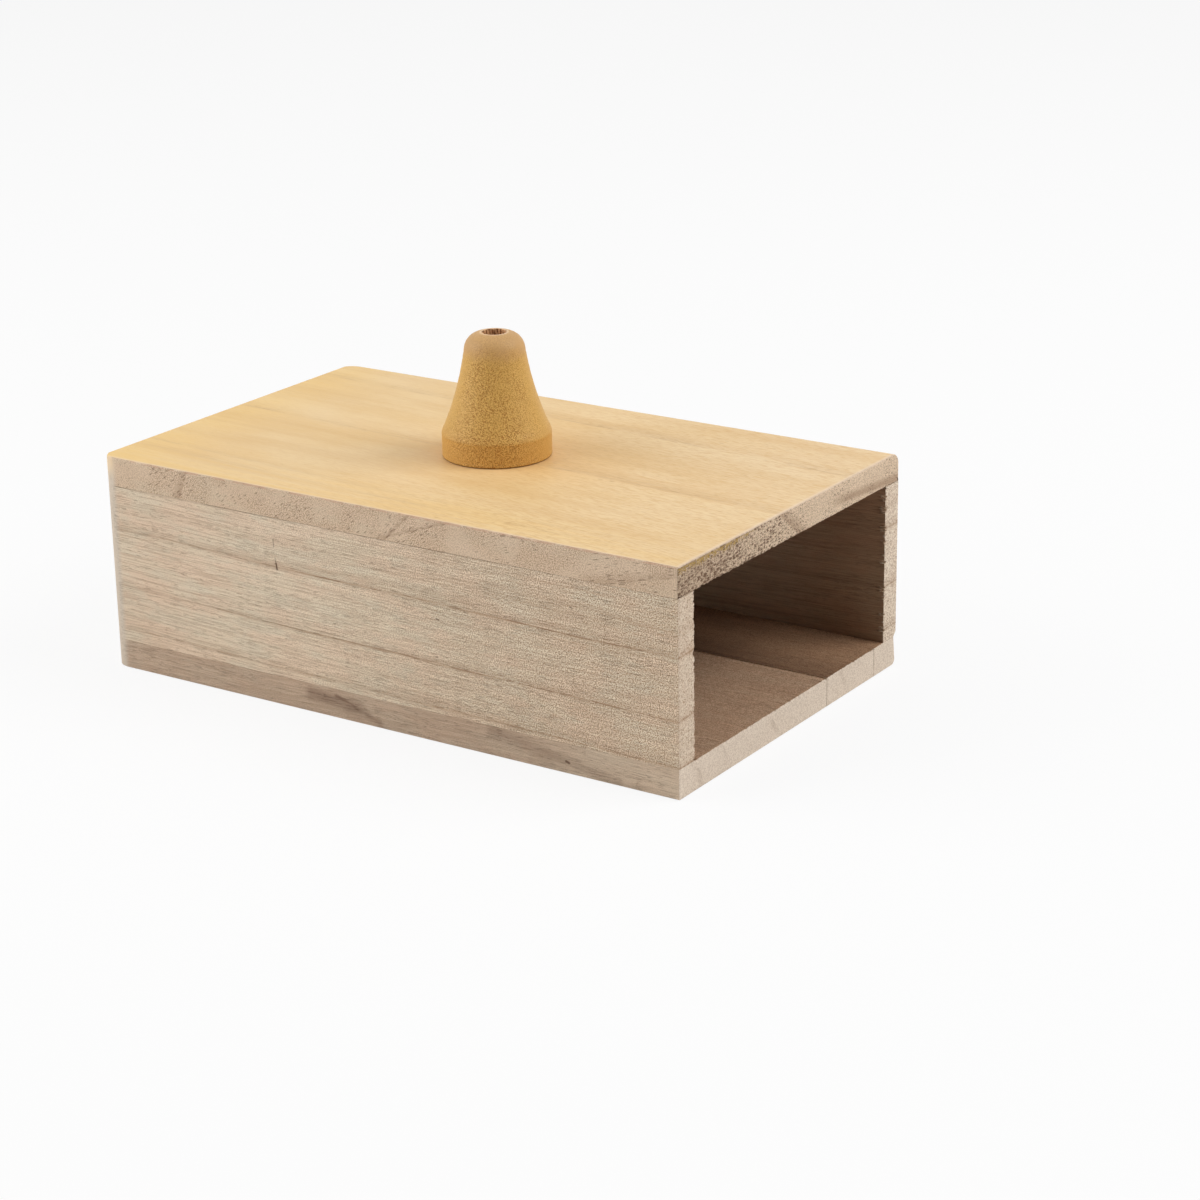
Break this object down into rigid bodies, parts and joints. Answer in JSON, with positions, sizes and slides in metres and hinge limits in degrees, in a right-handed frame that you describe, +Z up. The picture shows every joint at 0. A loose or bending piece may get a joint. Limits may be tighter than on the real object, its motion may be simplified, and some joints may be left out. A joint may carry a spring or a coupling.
{
  "type": "tuning fork resonance box",
  "caption": "Glued wooden box, open at one end, with a turned peg on top whose socket holds a tuning fork's stem so the air inside resonates.",
  "frame": {"origin": "centre of the sole, on the surface that the box stands on", "axes": "+X along the box towards its open end, +Y towards the rear wall, +Z up along the peg"},
  "size_m": [0.148, 0.09, 0.0756],
  "materials": {
    "stained_wood": "honey stain, thin satin varnish, raw on its edges",
    "raw_wood": "bare sanded wood, sawn at the open end",
    "peg_wood": "turned, ochre stain, satin"
  },
  "bodies": {
    "root": {"top_board": "stained_wood", "front_wall": "raw_wood", "rear_wall": "raw_wood", "end_wall": "raw_wood", "floor_front_strip": "raw_wood", "floor_middle_strip": "raw_wood", "floor_rear_strip": "raw_wood", "fork_peg": "peg_wood"}
  },
  "joints": []
}
